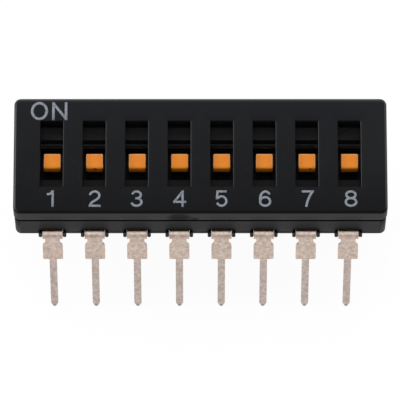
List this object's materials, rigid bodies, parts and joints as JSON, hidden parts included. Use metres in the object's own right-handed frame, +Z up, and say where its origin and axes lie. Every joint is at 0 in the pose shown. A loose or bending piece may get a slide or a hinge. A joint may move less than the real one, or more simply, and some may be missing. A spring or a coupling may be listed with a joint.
{
  "type": "slide dip switch",
  "caption": "Black slide DIP switch with a row of orange knobs in recessed slots, over two rows of long splayed through-hole pins.",
  "frame": {"origin": "centre of the base's flat underside, on the line midway between the two rows of leads", "axes": "+Z up from the underside to the knobs, +X from position 1 to position 8, +Y to the ON side"},
  "size_m": [0.0222, 0.0124, 0.0098],
  "materials": {
    "cover_plastic": "matte moulded black, lightly spark-textured",
    "base_plastic": "matte moulded black",
    "slider_plastic": "smooth moulded black",
    "knob_plastic": "satin moulded orange",
    "terminal_metal": "satin tin plate on stamped copper alloy",
    "spring_metal": "plated spring brass",
    "print_ink": "pale grey printed ink"
  },
  "bodies": {
    "housing": {"cover": "cover_plastic", "base": "base_plastic", "terminal_front_1": "terminal_metal", "terminal_front_2": "terminal_metal", "terminal_front_3": "terminal_metal", "terminal_front_4": "terminal_metal", "terminal_front_5": "terminal_metal", "terminal_front_6": "terminal_metal", "terminal_front_7": "terminal_metal", "terminal_front_8": "terminal_metal", "terminal_back_1": "terminal_metal", "terminal_back_2": "terminal_metal", "terminal_back_3": "terminal_metal", "terminal_back_4": "terminal_metal", "terminal_back_5": "terminal_metal", "terminal_back_6": "terminal_metal", "terminal_back_7": "terminal_metal", "terminal_back_8": "terminal_metal"},
    "slide_1": {"slider_1": "slider_plastic", "knob_1": "knob_plastic", "contact_spring_1": "spring_metal"},
    "slide_2": {"slider_2": "slider_plastic", "knob_2": "knob_plastic", "contact_spring_2": "spring_metal"},
    "slide_3": {"slider_3": "slider_plastic", "knob_3": "knob_plastic", "contact_spring_3": "spring_metal"},
    "slide_4": {"slider_4": "slider_plastic", "knob_4": "knob_plastic", "contact_spring_4": "spring_metal"},
    "slide_5": {"slider_5": "slider_plastic", "knob_5": "knob_plastic", "contact_spring_5": "spring_metal"},
    "slide_6": {"slider_6": "slider_plastic", "knob_6": "knob_plastic", "contact_spring_6": "spring_metal"},
    "slide_7": {"slider_7": "slider_plastic", "knob_7": "knob_plastic", "contact_spring_7": "spring_metal"},
    "slide_8": {"slider_8": "slider_plastic", "knob_8": "knob_plastic", "contact_spring_8": "spring_metal"}
  },
  "joints": [
    {"name": "switch_1", "type": "slide", "parent": "housing", "child": "slide_1", "axis": [0, 1, 0], "range_m": [0, 0.0009]},
    {"name": "switch_2", "type": "slide", "parent": "housing", "child": "slide_2", "axis": [0, 1, 0], "range_m": [0, 0.0009]},
    {"name": "switch_3", "type": "slide", "parent": "housing", "child": "slide_3", "axis": [0, 1, 0], "range_m": [0, 0.0009]},
    {"name": "switch_4", "type": "slide", "parent": "housing", "child": "slide_4", "axis": [0, 1, 0], "range_m": [0, 0.0009]},
    {"name": "switch_5", "type": "slide", "parent": "housing", "child": "slide_5", "axis": [0, 1, 0], "range_m": [0, 0.0009]},
    {"name": "switch_6", "type": "slide", "parent": "housing", "child": "slide_6", "axis": [0, 1, 0], "range_m": [0, 0.0009]},
    {"name": "switch_7", "type": "slide", "parent": "housing", "child": "slide_7", "axis": [0, 1, 0], "range_m": [0, 0.0009]},
    {"name": "switch_8", "type": "slide", "parent": "housing", "child": "slide_8", "axis": [0, 1, 0], "range_m": [0, 0.0009]}
  ]
}
